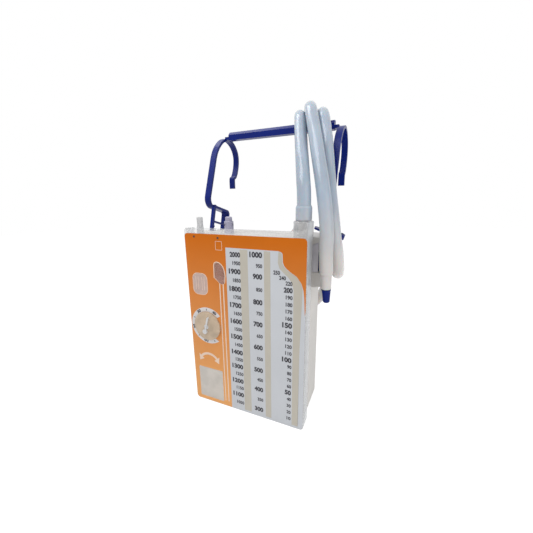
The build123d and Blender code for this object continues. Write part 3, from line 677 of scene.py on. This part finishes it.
@dataclass
class LabelPrint:
    """Print on the panel's film: fields of colour, clear strips, numbers and a dial scale.

    Rectangles are (left, right, low, high), with a corner radius behind them where they have one.
    """

    face: float = -47.3
    air: float = 0.01
    layer: float = 0.05
    ink: float = 0.035
    bold_digit: float = 4.3
    bold_cap: float = 7.3
    light_digit: float = 2.85
    light_cap: float = 5.2
    two_share: float = 0.87
    field_box: tuple = (-84.4, 84.4, 0.6, 256.0, 4.4)
    field_edge: tuple = ((-21.5, 239.9), (-22.6, 0.6))
    bellows_rim: tuple = (-76.6, -52.2, 171.2, 202.4, 8.4)
    bellows_window: tuple = (-75.9, -52.9, 171.9, 201.6, 7.8)
    bellows_folds: tuple[float, ...] = (-71.2, -67.4, -61.6, -57.8)
    fold_width: float = 0.5
    fold_span: tuple[float, float] = (178.0, 197.0)
    sample_window: tuple = (-76.7, -35.8, 6.4, 57.2, 1.4)
    leak_inset: float = 1.2
    leak_rim: float = -0.1
    channel_lines: tuple = ((-33.4, -31.9), (-28.2, -26.5))
    channel_span: tuple[float, float] = (9.0, 191.0)
    film_strips: tuple = ((-1.0, 9.8), (31.7, 40.0))
    film_span: tuple[float, float] = (4.0, 238.5)
    square_outer: tuple = (-36.3, -26.5, 235.7, 247.4, 0.8)
    square_inner: tuple = (-35.8, -27.0, 236.2, 246.9, 0.4)
    dial_centre: tuple[float, float] = (-55.97, 125.8)
    scale_inner: float = 21.2
    scale_outer: float = 27.3
    inner_span: tuple[float, float] = (148, 408)
    outer_span: tuple[float, float] = (141, 410)
    scale_steps: int = 70
    mark_size: tuple[float, float] = (6.8, 4.6)
    tick_reach: float = 1.4
    tick_width: float = 1.0
    sign_centre: tuple[float, float] = (-57.5, 64.0)
    sign_radius: float = 17.0
    sign_stroke: float = 3.6
    sign_barb: float = 5.5
    sign_bow: float = 50
    sign_tip: float = 78
    sign_steps: int = 16
    marks: tuple[tuple[int, str], ...] = (
        (-35, "30"),
        (-2, ""),
        (29, "40"),
        (-67, ""),
        (-102, "20"),
        (-137, ""),
        (-169, "10"),
        (156, ""),
    )
    columns: tuple[NumberColumn, ...] = (
        NumberColumn(2000, 1050, 50, 100, HEIGHTS_LARGE, -0.5, -2.0),
        NumberColumn(1000, 300, 50, 100, HEIGHTS_MIDDLE, 29.5, 27.9),
        NumberColumn(200, 10, 10, 50, HEIGHTS_SMALL, 68.4, 67.9),
    )
    extra: tuple = ((250, 52.4, 213.7), (240, 59.9, 207.8), (220, 68.0, 201.8))
    swoosh: tuple = (
        (84.4, 170.0),
        (83.7, 163.2),
        (82.5, 186.0),
        (81.4, 195.0),
        (78.7, 203.6),
        (73.2, 211.0),
        (65.9, 215.5),
        (60.5, 219.4),
        (57.6, 222.6),
        (56.0, 226.5),
        (55.7, 232.0),
        (55.5, 236.4),
        (54.8, 237.8),
        (53.4, 238.9),
        (49.7, 239.9),
    )
    clear_band: tuple = (
        (50.4, 238.9),
        (53.0, 238.4),
        (54.7, 236.4),
        (54.9, 230.0),
        (55.4, 225.4),
        (57.6, 221.4),
        (61.0, 218.2),
        (65.9, 215.2),
        (73.2, 211.0),
        (78.7, 203.6),
        (80.4, 195.0),
        (80.0, 183.0),
        (79.0, 150.0),
        (78.0, 110.0),
        (77.6, 4.0),
        (69.4, 4.0),
        (69.5, 194.0),
        (67.4, 203.0),
        (62.6, 209.5),
        (56.4, 214.5),
        (51.6, 219.5),
        (49.6, 226.0),
    )

    def build(self, shop: Workshop) -> None:
        """Lays the inks on the film, from the fields up to the numbers.

        Args:
            shop: workshop that makes the finishes and pieces.
        """
        self.lay(shop, "label_orange_field", self.orange(), "ink_orange_with_painted_light", 0)
        self.lay(shop, "label_clear_strips", self.strips(), "ink_clear", 0)
        leak = np.array(self.leak_outline(self.leak_inset))
        windows = (
            ("label_window_leak", leak, "ink_window"),
            ("label_window_bellows", rounded(*self.bellows_window), "ink_blush"),
            ("label_window_sample", rounded(*self.sample_window), "ink_haze"),
        )
        for name, outline, key in windows:
            film = FlatPrint()
            film.fill(outline)
            self.lay(shop, name, film, key, 0)
        self.lay(shop, "label_pale_lines", self.pale_lines(), "ink_line", 1)
        self.lay(shop, "label_dial_scale", self.dial_scale(), "ink_scale", 1)
        self.lay(shop, "label_dial_marks", self.dial_marks(), "ink_numeral", 2)
        for number, column in enumerate(self.columns):
            ink = FlatPrint()
            for value, right, height in column.entries():
                self.number(ink, value, right, height, value % column.main == 0)
            if number == len(self.columns) - 1:
                for value, right, height in self.extra:
                    self.number(ink, value, right, height, False)
            self.lay(shop, f"label_numbers_{number + 1}", ink, "ink_numeral", 1)

    def lay(self, shop: Workshop, name: str, ink: FlatPrint, key: str, level: int) -> None:
        """Makes a plate of gathered print on a level above the film.

        Args:
            shop: workshop that makes it.
            name: the piece's name.
            ink: the gathered print.
            key: name of the finish.
            level: how many layers lie under it.
        """
        far = self.face - self.air - level * self.layer
        verts, faces = ink.plate(far - self.ink, far)
        shop.add(name, verts, faces, key, "label_film")

    def number(self, ink: FlatPrint, value: int, right: float, height: float, bold: bool) -> None:
        """Sets one number; main numbers that start with 2 are a share smaller.

        Args:
            ink: print that gets it.
            value: the number.
            right: its right edge.
            height: height of its middle.
            bold: whether it is a main number.
        """
        digit, cap = (
            (self.bold_digit, self.bold_cap) if bold else (self.light_digit, self.light_cap)
        )
        shrink = self.two_share if bold and str(value).startswith("2") else 1.0
        width = digit * len(str(value)) * shrink
        ink.write(str(value), (right - width / 2, height), (width, cap * (1 + shrink) / 2), bold)

    def orange(self) -> FlatPrint:
        """Orange field with the three windows left open.

        Returns:
            The gathered print.
        """
        corners = rounded(*self.field_box)
        right_top, left = corners[:8], corners[16:]
        outline = np.vstack((right_top, np.array(self.swoosh), np.array(self.field_edge), left))
        ink = FlatPrint()
        windows = (
            rounded(*self.bellows_window),
            np.array(self.leak_outline(self.leak_inset)),
            rounded(*self.sample_window),
        )
        ink.fill(outline, *windows)
        return ink

    def leak_outline(self, inset: float) -> list[tuple[float, float]]:
        """Outline of the tapered window, moved inward.

        Args:
            inset: distance inward.

        Returns:
            (x, z) pairs.
        """
        return [
            (-41.1 + inset, 215.6),
            (-40.0 + inset * 0.7, 218.6 - inset * 0.7),
            (-36.6, 220.4 - inset),
            (-32.6, 219.8 - inset),
            (-29.4 - inset * 0.5, 217.8 - inset * 0.8),
            (-26.2 - inset * 0.7, 214.4 - inset * 0.7),
            (-24.2 - inset, 209.0),
            (-23.2 - inset, 202.0),
            (-24.6 - inset * 0.6, 192.0),
            (-29.6 + inset * 0.4, 190.0),
            (-33.4 + inset * 0.5, 191.6),
            (-41.4 + inset, 198.4),
        ]

    def strips(self) -> FlatPrint:
        """Strips of bare film through which the chambers' levels are read.

        Returns:
            The gathered print.
        """
        ink = FlatPrint()
        for left, right in self.film_strips:
            ink.fill(box(left, right, *self.film_span))
        ink.fill(np.array(self.clear_band))
        return ink

    def pale_lines(self) -> FlatPrint:
        """Pale window outlines, the leak channel's lines, a square and a turning sign.

        Returns:
            The gathered print.
        """
        ink = FlatPrint()
        ink.fill(rounded(*self.bellows_rim), rounded(*self.bellows_window))
        ink.fill(*(np.array(self.leak_outline(d)) for d in (self.leak_rim, self.leak_inset)))
        for left, right in self.channel_lines:
            ink.fill(box(left, right, *self.channel_span))
        ink.fill(rounded(*self.square_outer), rounded(*self.square_inner))
        for x in self.bellows_folds:
            ink.fill(box(x, x + self.fold_width, *self.fold_span))
        ink.fill(self.turn_sign())
        return ink

    def turn_sign(self) -> np.ndarray:
        """Outline of a sign for turning: a bow with an arrowhead at each end.

        Each row is a radius, two angles and a number of points of one arc round the sign's centre.

        Returns:
            An array of (x, z) rows.
        """
        bow, half, barb = self.sign_radius, self.sign_stroke / 2, self.sign_barb
        end, tip, steps = self.sign_bow, self.sign_tip, self.sign_steps
        rows = (
            (bow + half, -end, end, steps),
            (bow + barb, end, end, 1),
            (bow, tip, tip, 1),
            (bow - barb, end, end, 1),
            (bow - half, end, -end, steps),
            (bow - barb, -end, -end, 1),
            (bow, -tip, -tip, 1),
            (bow + barb, -end, -end, 1),
        )
        return np.vstack([arc(self.sign_centre, *row) for row in rows])

    def dial_scale(self) -> FlatPrint:
        """White band part of the way round the dial.

        Returns:
            The gathered print.
        """
        outer = arc(self.dial_centre, self.scale_outer, *self.outer_span, self.scale_steps)
        inner = arc(self.dial_centre, self.scale_inner, *self.inner_span, self.scale_steps)
        ink = FlatPrint()
        ink.fill(np.vstack((outer, inner[::-1])))
        return ink

    def dial_marks(self) -> FlatPrint:
        """Numbers and ticks on the dial's band, with their tops outward.

        Returns:
            The gathered print.
        """
        ink = FlatPrint()
        middle = (self.scale_inner + self.scale_outer) / 2
        reach = self.tick_reach
        for angle, text in self.marks:
            centre = arc(self.dial_centre, middle, angle, angle, 1)[0]
            if text:
                ink.write(text, tuple(centre), self.mark_size, True, angle)
            else:
                ends = [arc(self.dial_centre, middle + d, angle, angle, 1) for d in (-reach, reach)]
                ink.fill(stroke(np.vstack(ends), self.tick_width))
        return ink


@dataclass
class Camera:
    """The photograph's camera, found from the housing's edges."""

    place: tuple[float, float, float] = (159.93, -335.12, 298.26)
    azimuth: float = 23.448
    pitch: float = -13.977
    roll: float = -0.585
    lens: float = 18.187
    sensor: float = 36.0
    nearest: float = 10.0
    farthest: float = 20000.0

    def build(self) -> None:
        """Adds the camera and makes it the scene's own."""
        data = bpy.data.cameras.new("camera")
        data.lens = self.lens
        data.sensor_width = self.sensor
        data.sensor_fit = "HORIZONTAL"
        data.clip_start = self.nearest * MM
        data.clip_end = self.farthest * MM
        obj = bpy.data.objects.new("camera", data)
        az, tilt, roll = (math.radians(a) for a in (self.azimuth, self.pitch, self.roll))
        level = math.cos(tilt)
        forward = np.array([-math.sin(az) * level, math.cos(az) * level, math.sin(tilt)])
        right = np.array([math.cos(az), math.sin(az), 0.0])
        up = np.cross(right, forward)
        turned_right = right * math.cos(roll) + up * math.sin(roll)
        turned_up = up * math.cos(roll) - right * math.sin(roll)
        matrix = np.eye(4)
        matrix[:3, 0], matrix[:3, 1], matrix[:3, 2] = turned_right, turned_up, -forward
        matrix[:3, 3] = np.array(self.place) * MM
        obj.matrix_world = Matrix(matrix.tolist())
        bpy.context.scene.collection.objects.link(obj)
        bpy.context.scene.camera = obj
        log.info("camera at %s mm", self.place)


@dataclass(frozen=True)
class Lamp:
    """Soft square area lamp: its place and side in millimetres, and its power in watts."""

    name: str
    place: tuple[float, float, float]
    size: float
    power: float

    def build(self, aim: Vector) -> None:
        """Adds the lamp, turned to a point.

        Args:
            aim: the point, in metres.
        """
        data = bpy.data.lights.new(self.name, "AREA")
        data.size = self.size * MM
        data.energy = self.power
        obj = bpy.data.objects.new(self.name, data)
        at = Vector(self.place) * MM
        obj.rotation_euler = (aim - at).to_track_quat("-Z", "Y").to_euler()
        obj.location = at
        bpy.context.scene.collection.objects.link(obj)
        log.info("%s lamp", self.name)


@dataclass
class Studio:
    """Plain white floor, white surroundings and soft lamps."""

    floor_size: float = 6000.0
    floor_drop: float = 0.5
    lamps: tuple[Lamp, ...] = (
        Lamp("key", (-300, -450, 1250), 800, 7.5),
        Lamp("rim", (-470, 280, 1180), 420, 1.7),
        Lamp("fill", (900, -500, 500), 900, 3.0),
    )
    aim: tuple[float, float, float] = (0, 0, 180)
    paper: str = "#F4F4F4"
    faint_paper: str = "#9A9A9A"
    glow: float = 0.86
    world_level: float = 0.52

    def build(self) -> None:
        """Adds the floor, the lamps and the world."""
        half, low = self.floor_size / 2, -self.floor_drop
        square = ((-half, -half), (half, -half), (half, half), (-half, half))
        verts = np.array([(x, y, low) for x, y in square])
        mesh = bpy.data.meshes.new("floor")
        mesh.from_pydata((verts * MM).tolist(), [], [(0, 1, 2, 3)])
        mesh.materials.append(self.floor_material())
        floor = bpy.data.objects.new("floor", mesh)
        bpy.context.scene.collection.objects.link(floor)
        for lamp in self.lamps:
            lamp.build(Vector(self.aim) * MM)
        self.world()
        log.info("floor and surroundings")

    def floor_material(self) -> bpy.types.Material:
        """White floor: seen directly, a glow and a faint paper add up to the surroundings' white.

        The faint paper is what still shows the object's shadow where the unit stands.

        Returns:
            The material.
        """
        mat = bpy.data.materials.new("white_paper_sweep")
        mat.use_nodes = True
        tree = mat.node_tree
        tree.nodes.clear()
        paper = add_node(tree, "ShaderNodeBsdfDiffuse", {"Color": linear(self.paper)})
        faint = add_node(tree, "ShaderNodeBsdfDiffuse", {"Color": linear(self.faint_paper)})
        glow = add_node(tree, "ShaderNodeEmission", {"Color": (1, 1, 1, 1), "Strength": self.glow})
        seen = add_node(tree, "ShaderNodeAddShader")
        tree.links.new(faint.outputs[0], seen.inputs[0])
        tree.links.new(glow.outputs[0], seen.inputs[1])
        mix = add_node(tree, "ShaderNodeMixShader")
        sources = (self.seen_directly(tree), paper.outputs[0], seen.outputs[0])
        for socket, source in enumerate(sources):
            tree.links.new(source, mix.inputs[socket])
        out = add_node(tree, "ShaderNodeOutputMaterial")
        tree.links.new(mix.outputs[0], out.inputs["Surface"])
        return mat

    def seen_directly(self, tree: bpy.types.NodeTree) -> bpy.types.NodeSocket:
        """Is 1 for camera, mirror and see-through rays.

        Args:
            tree: node tree that gets the nodes.

        Returns:
            The output socket.
        """
        path = add_node(tree, "ShaderNodeLightPath")
        first = add_node(tree, "ShaderNodeMath", {"operation": "MAXIMUM"})
        tree.links.new(path.outputs["Is Camera Ray"], first.inputs[0])
        tree.links.new(path.outputs["Is Glossy Ray"], first.inputs[1])
        second = add_node(tree, "ShaderNodeMath", {"operation": "MAXIMUM"})
        tree.links.new(first.outputs[0], second.inputs[0])
        tree.links.new(path.outputs["Is Transmission Ray"], second.inputs[1])
        return second.outputs[0]

    def world(self) -> None:
        """White surroundings, at full white where they are seen and lower where they light."""
        world = bpy.data.worlds.new("studio")
        world.use_nodes = True
        bpy.context.scene.world = world
        tree = world.node_tree
        tree.nodes.clear()
        dim, seen = (
            add_node(tree, "ShaderNodeBackground", {"Color": (1, 1, 1, 1), "Strength": level})
            for level in (self.world_level, 1.0)
        )
        mix = add_node(tree, "ShaderNodeMixShader")
        tree.links.new(self.seen_directly(tree), mix.inputs[0])
        tree.links.new(dim.outputs[0], mix.inputs[1])
        tree.links.new(seen.outputs[0], mix.inputs[2])
        out = add_node(tree, "ShaderNodeOutputWorld")
        tree.links.new(mix.outputs[0], out.inputs["Surface"])


@dataclass
class PatientTube:
    """The tube, hung over the crossbar in three passes and ending in its capped connector."""

    diameter: float = 16.6
    length: float = 1854.0
    round_steps: int = 7
    long_steps: int = 14
    route: tuple = ()

    def build(self, shop: Workshop) -> None:
        """Args:
            shop: workshop that makes the finishes and pieces.
        """
        curve = bpy.data.curves.new("patient_tube_line", "CURVE")
        curve.dimensions = "3D"
        curve.bevel_depth = self.diameter / 2 * MM
        curve.bevel_resolution = self.round_steps
        curve.resolution_u = self.long_steps
        curve.use_fill_caps = True
        spline = curve.splines.new("NURBS")
        spline.points.add(len(self.route) - 1)
        values = np.column_stack((np.array(self.route) * MM, np.ones(len(self.route))))
        spline.points.foreach_set("co", values.ravel())
        spline.order_u = 3
        spline.use_endpoint_u = True
        curve.materials.append(shop.finish("tube"))
        tube = bpy.data.objects.new("patient_tube_vinyl", curve)
        bpy.context.scene.collection.objects.link(tube)
        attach(tube, Body.HOUSING.value)
        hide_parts("patient_tube")
        names = ("tube_cuff", "tube_connector", "connector_cap", "tube_clamp")
        on_it = [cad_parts[name] for name in names]
        for node, key in zip(on_it, ("tube", "tube", "blue", "blue")):
            shop.dress(node.name, key)
        log.info("patient tube of %d route points", len(self.route))


@dataclass
class Housing:
    """Tank, panel, ports and the pieces inside them.

    The right socket's window has a hazy sheet of painted shade, with its outline and the depths of
    its two faces. The vent spring has its seat, and the share of its height that is left when the
    button is down.
    """

    pane_outline: tuple = ((80.2, 207.2), (88.0, 207.2), (88.0, 245.8), (80.2, 242.9))
    pane_depths: tuple[float, float] = (-5.6, -5.2)
    spring_seat: tuple[float, float, float] = (-43.3, 0.0, 254.7)
    spring_keep: float = 0.78
    dressed: dict[str, str] = field(
        default_factory=lambda: {
            "rear_tank": "tank",
            "front_panel": "clear",
            "front_label": "ink_white",
            "access_plugs": "rubber",
            "inlet_socket": "clear",
            "inlet_barb": "white",
            "inlet_duct": "clear",
            "hanger": "blue",
            "suction_port": "white",
            "suction_filter": "felt",
            "relief_body": "lilac",
            "relief_seal": "silicone",
            "relief_spring": "steel",
            "relief_button": "lilac",
            "regulator_body": "white",
            "orifice_disc": "white",
            "regulator_diaphragm": "silicone",
            "regulator_spring": "steel",
            "dial_shaft": "white",
            "dial_knob": "dial",
            "dial_pointer": "white",
            "bellows_bracket": "white",
            "suction_bellows": "silicone",
            "bellows_indicator": "red",
            "float_channel": "clear",
            "leak_float": "red",
            "one_way_valve": "silicone",
        }
    )

    def build(self, shop: Workshop) -> None:
        """Gives each carried CAD node its finish.

        Args:
            shop: workshop that makes the finishes and pieces.
        """
        for node, key in self.dressed.items():
            shop.dress(node, key)
        log.info("dressed %d CAD nodes", len(self.dressed))
        self.glaze(shop)
        self.vent_spring(shop)

    def glaze(self, shop: Workshop) -> None:
        """Adds a thin hazy sheet of painted shade just inside each socket window, as a closed
        plate.

        Args:
            shop: workshop that makes the finishes and pieces.
        """
        outline = np.array(self.pane_outline)
        for side, sign in (("right", 1), ("left", -1)):
            recess_shade = FlatPrint()
            recess_shade.fill(outline * (sign, 1))
            verts, faces = recess_shade.plate(*self.pane_depths)
            # The sheet is painted shade: a soft grey for the socket recess behind it
            shop.add(f"socket_recess_shade_{side}", verts, faces, "recess_shade", "clear_plastic")

    def vent_spring(self, shop: Workshop) -> None:
        """Stands a copy of the vent valve's spring in its place.

        Args:
            shop: workshop that makes the finishes and pieces.
        """
        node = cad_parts["relief_spring"]
        piece = bpy.data.objects.new("relief_spring_wire", node.data.copy())
        bpy.context.scene.collection.objects.link(piece)
        piece.data.materials.clear()
        piece.data.materials.append(shop.finish("steel"))
        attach(piece, Body.HOUSING.value)
        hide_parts("relief_spring")
        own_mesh(piece)
        log.info("vent spring of %d points", len(piece.data.vertices))


# Control points of the tube, from the port to the connector, as in the part's source
TUBE_ROUTE = (
    (72.2, -20.5, 283.2),
    (72.2, -20.5, 303.5),
    (68.8, -14.8, 322.0),
    (61.9, 3.1, 345.7),
    (52.0, 30.0, 373.8),
    (40.5, 62.6, 414.5),
    (24.4, 112.7, 414.4),
    (17.2, 145.0, 382.0),
    (18.9, 146.5, 336.1),
    (26.9, 136.0, 301.7),
    (25.6, 127.1, 243.1),
    (-18.9, 124.6, 208.9),
    (-34.3, 122.0, 162.0),
    (-8.0, 112.0, 117.5),
    (46.5, 100.8, 110.4),
    (84.1, 95.1, 149.8),
    (77.1, 91.8, 210.1),
    (75.0, 91.5, 270.9),
    (63.1, 120.3, 305.7),
    (56.0, 146.0, 341.9),
    (55.4, 143.5, 382.2),
    (60.4, 111.9, 415.0),
    (71.7, 62.3, 414.1),
    (84.9, 29.9, 370.4),
    (89.3, 26.2, 339.6),
    (94.9, 15.6, 306.5),
    (104.5, -4.4, 267.8),
    (109.5, -0.2, 226.8),
    (107.7, 31.3, 195.8),
    (102.8, 75.7, 194.7),
    (93.3, 112.3, 227.6),
    (77.1, 125.0, 277.1),
    (65.2, 152.2, 318.0),
    (49.0, 166.8, 359.7),
    (39.6, 154.5, 395.8),
    (40.5, 116.1, 424.3),
    (55.6, 57.0, 422.9),
    (73.0, 19.1, 375.9),
    (81.9, 2.8, 346.5),
    (90.2, -9.8, 317.3),
    (96.6, -17.6, 288.1),
    (100.6, -21.4, 262.0),
    (100.2, -21.4, 238.0),
    (101.2, -20.5, 214.5),
)


def main() -> None:
    """Builds the pieces in order."""
    logging.basicConfig(level=logging.INFO, format="%(message)s")
    bpy.context.scene.view_settings.view_transform = "Standard"
    shop = Workshop()
    Camera().build()
    Studio().build()
    PatientTube(route=TUBE_ROUTE).build(shop)
    Housing().build(shop)
    LabelPrint().build(shop)
    bpy.context.view_layer.update()


if __name__ == "__main__":
    main()
